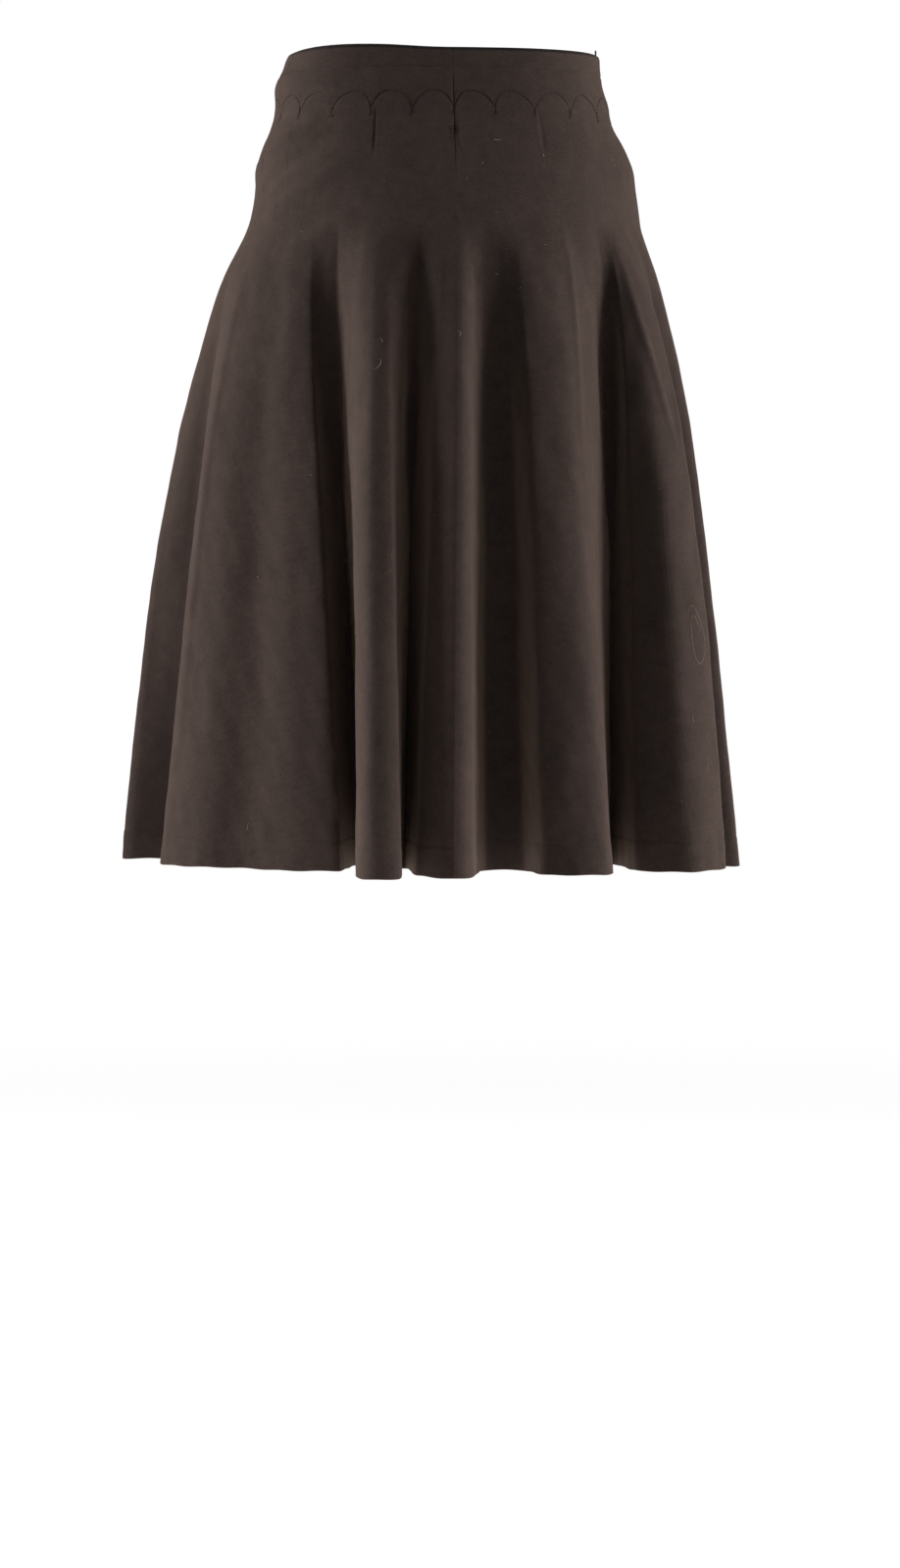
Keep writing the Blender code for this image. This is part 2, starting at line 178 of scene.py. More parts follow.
# The centre back seam: its closure's dip, the drops where it comes and goes, and its pucker.
NEAR_THREADS = 0.02
BACK_DIP = 0.35 * MM
BACK_DIP_WIDTH = 1.1 * MM
BACK_SWELL = 0.1 * MM
BACK_SWELL_AT = 3.5 * MM
BACK_SWELL_WIDTH = 2 * MM
BACK_COMES = (15 * MM, 30 * MM)
BACK_GOES = (64 * MM, 80 * MM)
BACK_END = 90 * MM
PUCKER_AT = 58 * MM
PUCKER_HEIGHT = 3 * MM
PUCKER_WIDTH = 4 * MM
PUCKER_DIP = 0.5 * MM

# The turned hem: its step, the dip at its stitch line, and its soft waves.
HEM_STEP = 0.15 * MM
HEM_DIP = 0.2 * MM
HEM_DIP_WIDTH = 0.8 * MM
HEM_WAVE_RUNS = (9 * MM, 31 * MM)
HEM_WAVE_HEIGHT = 0.18 * MM

# Short darts below the scallops. The table gives each one's bearing at the top and at the tip
# in degrees, and the drop of its tip in mm.
DART_DIP = 0.5 * MM
DART_DIP_WIDTH = 0.9 * MM
DART_SWELL = 0.05 * MM
DART_SWELL_AT = 2.8 * MM
DART_SWELL_WIDTH = 1.8 * MM
DARTS = (
    (-32.6, -31.0, 71),
    (36.4, 35.0, 70),
    (150.5, 149.0, 76),
    (209.0, 210.0, 75),
)

# The main creases and soft swells of the cloth: where each starts and ends, as a bearing on
# the hip and a drop, its half width and its depth, all in degrees and mm. A positive depth is
# a ridge. Each is felt a few half widths away and some degrees past its ends.
CREASE_STEPS = 15
CREASE_REACH = 4
CREASE_SWING = 16
CREASE_TAPER = 0.8
CREASES = (
    (-90, 50, -50, 28, 5, -1.2),
    (-94, 88, -52, 46, 6, 2.2),
    (-88, 110, -44, 58, 6, -2.2),
    (-84, 134, -38, 80, 8, 2.2),
    (-74, 150, -34, 104, 8, -1.6),
    (-40, 96, -14, 118, 10, 0.5),
    (-24, 128, -20, 196, 7, -0.7),
    (-6, 120, -5, 190, 6, 0.6),
    (12, 90, 34, 104, 9, -0.5),
    (22, 132, 24, 214, 7, 0.7),
    (40, 118, 44, 190, 7, -0.8),
    (52, 66, 84, 58, 6, -0.9),
    (56, 92, 88, 80, 8, 0.9),
    (60, 128, 66, 190, 6, -0.8),
    (98, 52, 124, 70, 9, 0.9),
    (100, 84, 128, 112, 10, -0.9),
    (140, 96, 168, 84, 9, 0.7),
    (158, 120, 164, 182, 8, -0.8),
    (184, 70, 214, 78, 9, -0.7),
    (190, 118, 194, 190, 8, 0.8),
    (222, 104, 248, 84, 9, 0.9),
    (236, 130, 240, 196, 8, -0.9),
    (-87, 150, -86, 420, 12, -5.0),
    (-69, 150, -68, 520, 3.5, 1.3),
    (-45, 128, -44, 330, 9, -3.5),
    (-14, 150, -13, 340, 8, -2.5),
    (10, 160, 11, 340, 10, -2.5),
    (47, 140, 50, 350, 9, -4.0),
    (55.8, 134, 61.1, 290, 3.2, 1.6),
    (67, 126, 61.6, 290, 3.0, 1.4),
    (36.8, 124, 32.6, 290, 3.2, 1.3),
    (1.0, 60, 3.6, 73, 1.3, 0.6),
    (-1.2, 60, -2.6, 70, 1.6, -0.4),
    (-70, 260, -66, 430, 9, 0.7),
    (-58, 330, -57, 500, 8, -0.6),
    (-46, 300, -44, 470, 8, 0.6),
    (-21, 300, -20, 430, 6, -0.4),
    (26, 330, 27, 500, 9, 0.5),
    (31, 240, 32, 380, 6, -0.5),
    (60, 300, 61, 470, 7, 0.6),
    (100, 300, 101, 470, 9, -0.7),
    (126, 320, 127, 500, 9, 0.7),
    (152, 280, 151, 430, 9, -0.6),
    (178, 340, 180, 500, 10, 0.7),
    (207, 300, 208, 450, 9, -0.6),
    (233, 320, 234, 500, 9, 0.7),
)

# Sewing: the scallops' stitched arcs run a little past each other at the seam's points, and
# a bar of threads closes the centre back seam below its opening.
STITCH = 2.3 * MM
STITCH_GAP = 0.7 * MM
THREAD_RADIUS = 0.2 * MM
THREAD_SIDES = 6
ARC_REACH = 1.07
ARC_TOP = SCALLOP_TOP - 0.6 * MM
ARC_FOOT = 49.0 * MM
ARC_SAMPLES = 200
BAR_DROPS_MM = (56.6, 58.5, 60.6)
BAR_HALF_WIDTH = 4.0 * MM
BAR_SLOPE = 0.25 * MM

# Lint on the back: bearing on the hip, drop, length in mm, lean from the vertical in degrees
# and half the thickness in mm. A short one is a speck.
LINT = (
    (34.0, 75.9, 1.0, 60, 0.42),
    (62.8, 75.9, 0.9, 40, 0.32),
    (63.2, 79.9, 1.0, 110, 0.34),
    (17.1, 65.9, 4.0, 84, 0.16),
    (-40.4, 359.4, 1.1, 20, 0.28),
    (-39.9, 383.3, 1.1, 70, 0.24),
    (-57.9, 371.4, 1.2, 30, 0.28),
    (-25.0, 224.0, 8.5, -27, 0.14),
    (0.4, 202.6, 4.5, 20, 0.13),
    (-24.5, 207.5, 3.5, 30, 0.13),
    (-23.3, 354.5, 6.5, 12, 0.12),
    (-58.0, 548.0, 6.0, -25, 0.13),
    (-9.0, 330.0, 5.0, 15, 0.10),
    (44.0, 300.0, 4.0, -12, 0.10),
    (59.0, 470.0, 7.0, 6, 0.13),
    (60.5, 505.0, 5.0, -10, 0.12),
    (-70.0, 480.0, 4.0, 55, 0.11),
    (-50.0, 300.0, 3.5, 80, 0.10),
)
LINT_SEED = 11
LOOSE_LINT = 60
LOOSE_DROPS_MM = (60.0, 560.0)
LOOSE_LENGTHS_MM = (1.5, 4.5)
LOOSE_RADII_MM = (0.05, 0.09)
LINT_CURL = 0.12
HAIR_RADIUS = 0.13 * MM
HAIR_BEARING = 60.4
HAIR_DROP = 414 * MM
HAIR_HALF_WIDTH = 8.0 * MM
HAIR_HALF_HEIGHT = 23.0 * MM
HAIR_TURNS = 1.35
HAIR_STEPS = 110

# The cloth's slight unevenness: a sum of waves, longer down the cloth than across it.
WAVE_SEED = 7
WAVE_COUNT = 34
WAVE_ACROSS_MM = (14, 75)
WAVE_STRETCH = (1.0, 2.8)
WAVE_HEIGHT = 0.08 * MM
YOKE_WAVES = 0.6
BAND_WAVES = 0.4
CALM_WAVES = 0.4
CALM_DROPS = (90 * MM, 200 * MM)
HEM_WAVER = 0.5 * MM
HEM_WAVER_TURNS = (45, 26)
EDGE_ANGLE = math.radians(50)

# Knit: distance between wales and between courses, in the cloth's own flat measure, and how
# the loops' legs lean and bulge.
WALE = 1.5 * MM
COURSE = 1.25 * MM
LEG_LEAN = 0.9
LEG_BULGE = 0.25

# Each material's shader. Then noise in the wool, with its scale, detail and roughness, and the
# colours, deep and light.
WOOL_SHADER = {
    "Roughness": 0.92,
    "Specular IOR Level": 0.2,
    "Sheen Weight": 0.35,
    "Sheen Roughness": 0.45,
    "Sheen Tint": (0.62, 0.42, 0.32, 1.0),
}
FIBRE_SHADER = {"Roughness": 0.9, "Specular IOR Level": 0.2}
RIBBON_SHADER = {"Roughness": 0.5, "Sheen Weight": 0.1}
WOOL_NOISES = {
    "felt": (1500.0, 3.0, 0.6),
    "nap": (240.0, 4.0, 0.65),
    "patches": (16.0, 3.0, 0.55),
    "mottle": (110.0, 3.0, 0.6),
    "heather": (420.0, 4.0, 0.7),
}
WOOL_COLOURS = ((0.0155, 0.0098, 0.0083, 1.0), (0.052, 0.0343, 0.029, 1.0))
# The near black colour of the waistband's top edge.
DARK_EDGE_COLOUR = (0.0045, 0.0042, 0.0045, 1.0)
RIBBON_COLOURS = ((0.006, 0.005, 0.005, 1.0), (0.02, 0.017, 0.016, 1.0))
THREAD_COLOURS = ((0.012, 0.008, 0.0065, 1.0), (0.03, 0.02, 0.016, 1.0))
LINT_COLOURS = ((0.16, 0.12, 0.09, 1.0), (0.42, 0.35, 0.29, 1.0))

# The photograph's view: a long lens a little above the middle of the skirt, turned 5 degrees
# and tipped down slightly.
VIEW_TURN = math.radians(5)
VIEW_PITCH = math.radians(3.5912)
VIEW_DISTANCE = 3.0
VIEW_ASIDE = 0.0053
VIEW_HEIGHT = -0.335
VIEW_LENS = 94.635
FLOOR_HEIGHT = -1.07
FLOOR_REACH = 3.2
WHITE = (1.0, 1.0, 1.0, 1.0)
FLOOR_SHADER = {
    "Base Color": (0.9, 0.9, 0.89, 1.0),
    "Roughness": 0.8,
    "Emission Color": WHITE,
    "Emission Strength": 0.47,
}
FLOOR_SIDES = 96
FLOOR_FADE_FROM = 0.45

# Soft lights: name, how far to the right of the middle, towards the camera and up, size in
# metres and power in watts. The fill is the white surroundings' strength.
LIGHTS = (
    ("left", -3.2, 0.16, 0.6, 1.4, 160.0),
    ("right", 3.2, 0.33, 0.5, 1.4, 154.0),
)
LIGHT_TARGET = (0.0, 0.0, -0.3)
FILL = 0.04


def smooth_curve(at, knots, values):
    """A smooth curve through the knots, read at the given places."""
    slopes = np.gradient(values, knots)
    after = np.clip(np.searchsorted(knots, at, side="right"), 1, len(knots) - 1)
    before = after - 1
    step = knots[after] - knots[before]
    t = np.clip((at - knots[before]) / step, 0.0, 1.0)
    return (
        values[before] * (1 + 2 * t) * (1 - t) ** 2
        + slopes[before] * step * t * (1 - t) ** 2
        + values[after] * t * t * (3 - 2 * t)
        + slopes[after] * step * t * t * (t - 1)
    )


def table_column(table, names, name):
    """One column of a table, as numbers."""
    return np.array([row[names.index(name)] for row in table], dtype=float)


def figure_point(bearing, drop):
    """The smooth ring of the upper skirt: x and y at a bearing, counted from the centre back."""
    drops = table_column(FIGURE, FIGURE_COLUMNS, "drop") * MM
    reach = {
        name: smooth_curve(drop, drops, table_column(FIGURE, FIGURE_COLUMNS, name) * MM)
        for name in ("left", "right", "back", "front")
    }
    squareness = smooth_curve(drop, drops, table_column(FIGURE, FIGURE_COLUMNS, "squareness"))
    across = np.sin(bearing)
    along = -np.cos(bearing)
    half_width = np.where(across > 0, reach["right"], reach["left"])
    half_depth = np.where(along > 0, reach["front"], reach["back"])
    power = np.abs(across / half_width) ** squareness + np.abs(along / half_depth) ** squareness
    radius = power ** (-1.0 / squareness)
    return np.stack([radius * across, radius * along], axis=-1)


def run_along(points):
    """Distance along a line of points, from its first."""
    steps = np.linalg.norm(np.diff(points, axis=0), axis=1)
    return np.concatenate([[0.0], np.cumsum(steps)])


def hem_outline():
    """Even points along the hem in plan, closed, and the place of each turn along it from 0 to 1."""
    places = np.stack([table_column(TURNS, TURN_COLUMNS, axis) for axis in ("x", "y")], axis=1) * MM
    halves = table_column(TURNS, TURN_COLUMNS, "half_width") * MM
    headings = np.radians(table_column(TURNS, TURN_COLUMNS, "heading"))
    handles = np.stack([np.cos(headings), np.sin(headings)], axis=1) * halves[:, None]
    t = np.linspace(0.0, 1.0, SAMPLES_PER_TURN, endpoint=False)[:, None]
    line = []
    for i in range(len(TURNS)):
        j = (i + 1) % len(TURNS)
        first = places[i]
        second = first + handles[i]
        fourth = places[j]
        third = fourth - handles[j]
        line.append(
            first * (1 - t) ** 3
            + 3 * second * t * (1 - t) ** 2
            + 3 * third * t * t * (1 - t)
            + fourth * t**3
        )
    line = np.concatenate(line + [places[:1]])
    run = run_along(line)
    turns = run[:-1:SAMPLES_PER_TURN] / run[-1]
    even = np.linspace(0.0, run[-1], HEM_SAMPLES + 1)
    return np.stack([np.interp(even, run, line[:, k]) for k in (0, 1)], axis=1), turns


def mean_outline(outline):
    """The hem without its flutes: its lowest waves alone."""
    wave = np.fft.fft(outline[:-1, 0] + 1j * outline[:-1, 1])
    order = np.abs(np.fft.fftfreq(HEM_SAMPLES, 1.0 / HEM_SAMPLES))
    low = np.fft.ifft(wave * (order <= MEAN_WAVES))
    mean = np.stack([low.real, low.imag], axis=1)
    return np.concatenate([mean, mean[:1]])


def hip_bearings(threads, turn_threads):
    """Where each thread starts on the hip: through the turns' bearings, then eased."""
    bearings = np.append(table_column(TURNS, TURN_COLUMNS, "hip_bearing"), 360.0)
    straight = np.interp(threads, np.append(turn_threads, 1.0), bearings)
    drift = (straight - 360.0 * threads)[:-1]
    window = np.hanning(HEM_SAMPLES * HIP_EASING)
    eased = np.convolve(np.tile(drift, 3), window / window.sum(), mode="same")
    eased = eased[HEM_SAMPLES : 2 * HEM_SAMPLES + 1]
    return np.radians(360.0 * threads + eased - eased[0])


HEM, TURN_THREADS = hem_outline()
HEM_MEAN = mean_outline(HEM)
HEM_RUN = run_along(HEM)[-1]
THREADS = np.linspace(0.0, 1.0, HEM_SAMPLES + 1)
HIP_BEARINGS = hip_bearings(THREADS, TURN_THREADS)
BELLIES = table_column(TURNS, TURN_COLUMNS, "belly") * MM
THREAD_STEP = 0.5 / HEM_SAMPLES
FALL_STEP = 0.5 * MM


def on_ring(thread, values):
    """A value round the ring, read at a thread from 0 to 1 that may pass the centre back."""
    return np.interp(np.mod(thread, 1.0), THREADS, values)


def smooth_point(thread, drop):
    """The skirt's smooth outer surface. A thread runs down the cloth from the waist to the hem."""
    thread, drop = np.broadcast_arrays(thread, drop)
    bearing = on_ring(thread, HIP_BEARINGS)
    figure = figure_point(bearing, drop)
    hem, mean = (
        np.stack([on_ring(thread, ring[:, k]) for k in (0, 1)], axis=-1) for ring in (HEM, HEM_MEAN)
    )
    grown = np.clip((drop - FLUTE_START) / (LENGTH - FLUTE_START), 0.0, None)[..., None]
    start = FLUTE_SOFTNESS**FLUTE_POWER
    flute = ((grown + FLUTE_SOFTNESS) ** FLUTE_POWER - start) / ((1 + FLUTE_SOFTNESS) ** FLUTE_POWER - start)
    belly = np.interp(np.mod(thread, 1.0), TURN_THREADS, BELLIES, period=1.0)[..., None]
    away = mean / np.linalg.norm(mean, axis=-1, keepdims=True)
    plan = figure + (mean - figure) * grown**FLARE_POWER + (hem - mean) * flute
    plan = plan + away * belly * 4 * grown * (1 - grown)
    return np.concatenate([plan, -drop[..., None]], axis=-1)


def unit(vectors):
    """The vectors at a length of one."""
    return vectors / np.linalg.norm(vectors, axis=-1, keepdims=True)


def directions(thread, drop):
    """Along the ring, down the cloth and square out of it, at each place."""
    along = smooth_point(thread + THREAD_STEP, drop) - smooth_point(thread - THREAD_STEP, drop)
    down = smooth_point(thread, drop + FALL_STEP) - smooth_point(thread, drop - FALL_STEP)
    return unit(along), unit(down), unit(np.cross(down, along))


def thread_at_bearing(bearing):
    """The thread that starts at a bearing on the hip, which may be negative."""
    return np.interp(np.mod(bearing, math.tau), HIP_BEARINGS, THREADS)


def even_threads(count):
    """Threads that stand evenly round the seam below the yoke."""
    seam = figure_point(HIP_BEARINGS, np.full_like(HIP_BEARINGS, SCALLOP_POINT))
    run = run_along(seam)
    return np.interp(np.linspace(0.0, run[-1], count + 1), run, THREADS)


POINT_THREADS = even_threads(SCALLOPS)


def scallop_drop(thread):
    """The scalloped seam: a half round hump between each two of its points."""
    phase = np.mod(np.interp(thread, POINT_THREADS, np.arange(SCALLOPS + 1)), 1.0)
    hump = np.sqrt(np.clip(1.0 - (2.0 * phase - 1.0) ** 2, 0.0, 1.0))
    return SCALLOP_POINT + (SCALLOP_TOP - SCALLOP_POINT) * hump


def top_rise(thread):
    """How far the top edge stands over its level at a thread."""
    bearing = on_ring(thread, HIP_BEARINGS)
    away = np.mod(bearing - TOP_RISE_BEARING + math.pi, math.tau) - math.pi
    return TOP_RISE * np.cos(np.clip(away / TOP_RISE_SPREAD, -1, 1) * math.pi / 2) ** 2


def bell(distance, width):
    """A smooth hump of height one."""
    return np.exp(-((distance / width) ** 2))


def step_up(value, low, high):
    """A smooth rise from 0 at the low value to 1 at the high one."""
    t = np.clip((value - low) / (high - low), 0.0, 1.0)
    return t * t * (3 - 2 * t)


def seam_relief(distance):
    """The cloth's height beside a seam, at a distance from it."""
    swell = SEAM_SWELL * bell(distance - SEAM_SWELL_AT, SEAM_SWELL_WIDTH)
    return swell - SEAM_DIP * bell(distance, SEAM_DIP_WIDTH)


def seam_strength(thread):
    """How clearly the scalloped seam shows round the yoke, from a quarter to the whole."""
    turn = thread * math.tau
    return SEAM_STRENGTH + sum(
        height * np.sin(waves * turn + phase) for height, waves, phase in SEAM_STRENGTH_WAVES
    )


def crease_relief(thread, drop, points):
    """Soft troughs and ridges along the table's lines, each tapered to its ends."""
    bearing = np.degrees(on_ring(thread, HIP_BEARINGS))
    total = np.zeros_like(drop)
    for first, high, last, low, half_width, depth in CREASES:
        t = np.linspace(0.0, 1.0, CREASE_STEPS)
        line_thread = thread_at_bearing(np.radians(first + (last - first) * t))
        line = smooth_point(line_thread, (high + (low - high) * t) * MM)
        swing = np.mod(bearing - (first + last) / 2 + 180, 360) - 180
        near = np.abs(swing) < abs(last - first) / 2 + CREASE_SWING
        near &= drop > (min(high, low) - CREASE_REACH * half_width) * MM
        near &= drop < (max(high, low) + CREASE_REACH * half_width) * MM
        if not near.any():
            continue
        here = points[near]
        best = np.full(len(here), np.inf)
        at = np.zeros(len(here))
        for k in range(len(t) - 1):
            span = line[k + 1] - line[k]
            part = np.clip(((here - line[k]) @ span) / (span @ span), 0.0, 1.0)
            gap = np.linalg.norm(here - line[k] - part[:, None] * span, axis=1)
            closer = gap < best
            best[closer] = gap[closer]
            at[closer] = (k + part[closer]) / (len(t) - 1)
        taper = np.sin(math.pi * at) ** CREASE_TAPER
        total[near] += depth * MM * bell(best, half_width * MM) * taper
    return total


def wave_relief(flat):
    """The cloth's slight unevenness in its own flat measure."""
    random = np.random.default_rng(WAVE_SEED)
    total = np.zeros(flat.shape[:-1])
    for _ in range(WAVE_COUNT):
        across = random.uniform(*WAVE_ACROSS_MM) * MM
        down = across * random.uniform(*WAVE_STRETCH)
        lean = random.uniform(-1.0, 1.0)
        phase = random.uniform(0.0, math.tau)
        height = WAVE_HEIGHT * (across / (WAVE_ACROSS_MM[1] * MM)) ** 0.5
        turn = math.tau * (flat[..., 0] / across + lean * flat[..., 1] / down)
        total += height * np.sin(turn + phase)
    return total


def dart_relief(thread, drop, points):
    """Short stitched darts: a narrow groove that ends in a small dimple."""
    total = np.zeros_like(drop)
    for bearing, tip_bearing, tip_drop in DARTS:
        t = np.clip((drop - SCALLOP_POINT) / (tip_drop * MM - SCALLOP_POINT), 0.0, 1.0)
        line_thread = thread_at_bearing(np.radians(bearing + (tip_bearing - bearing) * t))
        swing = np.abs(np.mod(thread - line_thread + 0.5, 1.0) - 0.5)
        near = (swing < NEAR_THREADS) & (drop > SCALLOP_POINT - 6 * MM) & (drop < (tip_drop + 12) * MM)
        gap = np.linalg.norm(points[near] - smooth_point(line_thread[near], drop[near]), axis=-1)
        fade = step_up(drop[near], SCALLOP_POINT - 5 * MM, SCALLOP_POINT)
        fade *= 1 - step_up(drop[near], (tip_drop - 2) * MM, (tip_drop + 6) * MM)
        groove = DART_SWELL * bell(gap - DART_SWELL_AT, DART_SWELL_WIDTH)
        groove -= DART_DIP * bell(gap, DART_DIP_WIDTH)
        total[near] += groove * fade
    return total


def back_seam_relief(thread, drop, points):
    """The closure's pucker in the centre back seam, below the waistband."""
    near = (np.abs(np.mod(thread + 0.5, 1.0) - 0.5) < NEAR_THREADS) & (drop < BACK_END)
    total = np.zeros_like(drop)
    gap = np.linalg.norm(points[near] - smooth_point(np.zeros_like(drop[near]), drop[near]), axis=-1)
    fade = step_up(drop[near], *BACK_COMES) * (1 - step_up(drop[near], *BACK_GOES))
    pull = bell(drop[near] - PUCKER_AT, PUCKER_HEIGHT)
    swell = BACK_SWELL * bell(gap - BACK_SWELL_AT, BACK_SWELL_WIDTH)
    total[near] = (swell - BACK_DIP * bell(gap, BACK_DIP_WIDTH)) * fade
    total[near] -= PUCKER_DIP * bell(gap, PUCKER_WIDTH) * pull
    return total


def flat_layout(threads, drops, straight):
    """Where each place of a piece lies in its flat cut, and the cut's size and area.

    A flared piece is cut as a sector of a ring, and a straight one as a strip."""
    points = smooth_point(threads, drops)
    top_run = run_along(smooth_point(threads[0], np.full_like(drops[0], drops[0].min())))
    end_run = run_along(smooth_point(threads[0], np.full_like(drops[0], drops[-1].max())))
    down = np.zeros(drops.shape)
    down[1:] = np.cumsum(np.linalg.norm(np.diff(points, axis=0), axis=-1), axis=0)
    down += drops[0] - drops[0].min()
    height = down[-1].max()
    angle = (end_run[-1] - top_run[-1]) / height
    if straight:
        flat = np.stack([(top_run + end_run) / 2 + 0.0 * down, -down], axis=-1)
    else:
        radius = top_run[-1] / angle
        share = (end_run / end_run[-1] + top_run / top_run[-1]) / 2
        turn = (share - 0.5) * angle
        flat = (radius + down)[..., None] * np.stack([np.sin(turn), -np.cos(turn)], axis=-1)
    first = flat[1:, 1:] - flat[:-1, :-1]
    second = flat[1:, :-1] - flat[:-1, 1:]
    area = np.abs(first[..., 0] * second[..., 1] - first[..., 1] * second[..., 0]).sum() / 2
    return flat, np.ptp(flat.reshape(-1, 2), axis=0), area


def placed(name, data):
    """An object in the scene."""
    made = bpy.data.objects.new(name, data)
    bpy.context.scene.collection.objects.link(made)
    return made


def new_piece(name, vertices, faces):
    """A smooth mesh in the scene."""
    mesh = bpy.data.meshes.new(name)
    mesh.from_pydata(vertices, [], faces)
    mesh.shade_smooth()
    return placed(name, mesh)


def tube_faces(count, sides, start=0):
    """The faces of a closed tube of so many rings, whose corners are counted from the start."""
    faces = [[start + k for k in range(sides)][::-1]]
    for ring in range(count - 1):
        for k in range(sides):
            here = start + ring * sides + k
            beside = start + ring * sides + (k + 1) % sides
            faces.append([here, beside, beside + sides, here + sides])
    faces.append([start + (count - 1) * sides + k for k in range(sides)])
    return faces


def shell(name, threads, drops, relief, rise=None, dark_edge_rows=(), straight=False):
    """A thin closed cloth shell over a grid of threads and drops, and its flat size and area."""
    grid_threads = np.broadcast_to(threads, drops.shape)
    base = smooth_point(grid_threads, drops)
    along, down, square = directions(grid_threads, drops)
    flat, size, area = flat_layout(grid_threads, drops, straight)
    height = relief(grid_threads, drops, base, flat)
    outer = base + square * height[..., None]
    gap = SEAM_GAP / 2 * (GAP_LEAST + (1 - GAP_LEAST) * bell(drops - GAP_AT, GAP_SPREAD))[..., None]
    outer[:, 0] += along[:, 0] * gap[:, 0]
    outer[:, -1] -= along[:, -1] * gap[:, -1]
    if rise is not None:
        outer[..., 2] += rise
    inner = outer - square * WALL
    low_rim = (outer[-1] + inner[-1]) / 2 + down[-1] * WALL * RIM_ROUNDNESS
    high_rim = (outer[0] + inner[0]) / 2
    if rise is not None:
        high_rim -= down[0] * WALL * RIM_ROUNDNESS
    rings = np.concatenate([outer, low_rim[None], inner[::-1], high_rim[None]])
    places = np.concatenate([flat, flat[-1:], flat[::-1], flat[:1]])
    dark_edges = np.zeros(rings.shape[:2])
    dark_edges[list(dark_edge_rows)] = 1.0
    around, columns, _ = rings.shape
    index = np.arange(around * columns).reshape(around, columns)
    ahead = np.roll(index, -1, axis=0)
    quads = np.stack([index[:, :-1], ahead[:, :-1], ahead[:, 1:], index[:, 1:]], axis=-1).reshape(-1, 4)
    faces = quads.tolist()
    rows = len(drops)
    for column, flip in ((0, False), (columns - 1, True)):
        ring = index[:, column].tolist()
        caps = []
        for row in range(rows - 1):
            caps.append([ring[row], ring[2 * rows - row], ring[2 * rows - row - 1], ring[row + 1]])
        caps.append([ring[rows - 1], ring[rows + 1], ring[rows]])
        caps.append([ring[-1], ring[2 * rows], ring[0]])
        faces += [cap[::-1] for cap in caps] if flip else caps
    piece = new_piece(name, rings.reshape(-1, 3).tolist(), faces)
    mesh = piece.data
    mesh.set_sharp_from_angle(angle=EDGE_ANGLE)
    corners = np.empty(len(mesh.loops), dtype=np.int32)
    mesh.loops.foreach_get("vertex_index", corners)
    layer = mesh.uv_layers.new(name="cloth")
    layer.uv.foreach_set("vector", places.reshape(-1, 2)[corners].astype(np.float32).ravel())
    # Rows of the top edge that take the near black colour.
    edge = mesh.attributes.new("dark_edge", "FLOAT", "POINT")
    edge.data.foreach_set("value", dark_edges.astype(np.float32).ravel())
    return piece, size, area, (threads, drops, outer, square)


def columns_between(first, last, spacing):
    """Threads from one seam to the next, with the scallops' points among them."""
    inside = POINT_THREADS[(POINT_THREADS > first + THREAD_STEP) & (POINT_THREADS < last - THREAD_STEP)]
    stops = np.concatenate([[first], inside, [last]])
    parts = []
    for start, end in zip(stops, stops[1:]):
        count = max(4, round((end - start) * HEM_RUN / spacing))
        parts.append(np.linspace(start, end, count, endpoint=False))
    return np.append(np.concatenate(parts), last)


def side_distance(base):
    """How far each place is from the nearer of the piece's two side seams."""
    first = np.linalg.norm(base - base[:, :1], axis=-1)
    last = np.linalg.norm(base - base[:, -1:], axis=-1)
    return np.minimum(first, last)


def scallop_distance(threads, drops):
    """How far each place is from the scalloped seam, measured square to it."""
    seam = scallop_drop(threads)
    slope = np.gradient(seam[0]) / np.maximum(np.gradient(run_along(smooth_point(threads[0], seam[0]))), 1e-6)
    return np.abs(drops - seam) / np.sqrt(1 + np.clip(slope, -1.2, 1.2) ** 2)


def skirt_relief(thread, drop, base, flat):
    """Heights of the flared skirt's cloth over its smooth form."""
    side = side_distance(base)
    away = step_up(side, 0.0, SIDE_CALM)
    height = crease_relief(thread, drop, base)
    height += wave_relief(flat) * away * (CALM_WAVES + (1 - CALM_WAVES) * step_up(drop, *CALM_DROPS))
    height += dart_relief(thread, drop, base) + back_seam_relief(thread, drop, base)
    height += seam_relief(scallop_distance(thread, drop)) * seam_strength(thread)
    height += seam_relief(side) * (1 - step_up(drop, *SIDE_SEAM_FADE))
    above_hem = LENGTH - drop
    height += HEM_STEP * (1 - step_up(above_hem, HEM_TURN - 1 * MM, HEM_TURN + 1 * MM))
    height -= HEM_DIP * bell(above_hem - HEM_TURN, HEM_DIP_WIDTH)
    short, long = (flat[..., 0] / run * math.tau for run in HEM_WAVE_RUNS)
    wave = np.sin(short) * np.sin(long + 1)
    height += HEM_WAVE_HEIGHT * wave * away * (1 - step_up(above_hem, 4 * MM, HEM_TURN + 14 * MM))
    return height


def yoke_relief(thread, drop, base, flat):
    """Heights of the yoke's cloth over its smooth form."""
    side = side_distance(base)
    height = crease_relief(thread, drop, base) + back_seam_relief(thread, drop, base)
    height += YOKE_WAVES * wave_relief(flat) * step_up(side, 0.0, SIDE_CALM)
    height += seam_relief(scallop_distance(thread, drop)) * seam_strength(thread)
    height += seam_relief(side) * (SEAM_FAINT + (1 - SEAM_FAINT) * step_up(drop, *BACK_COMES))
    height += seam_relief(drop - BAND_DEPTH) * (1 - SEAM_FAINT)
    return height


def band_relief(thread, drop, base, flat):
    """Heights of the waistband's cloth over its smooth form."""
    side = side_distance(base)
    height = BAND_WAVES * wave_relief(flat) * step_up(side, 0.0, SIDE_CALM)
    height += (1 - SEAM_FAINT) * seam_relief(BAND_DEPTH - drop) + SEAM_FAINT * seam_relief(side)
    return height - TOP_ROLL * bell(drop, TOP_ROLL_WIDTH)


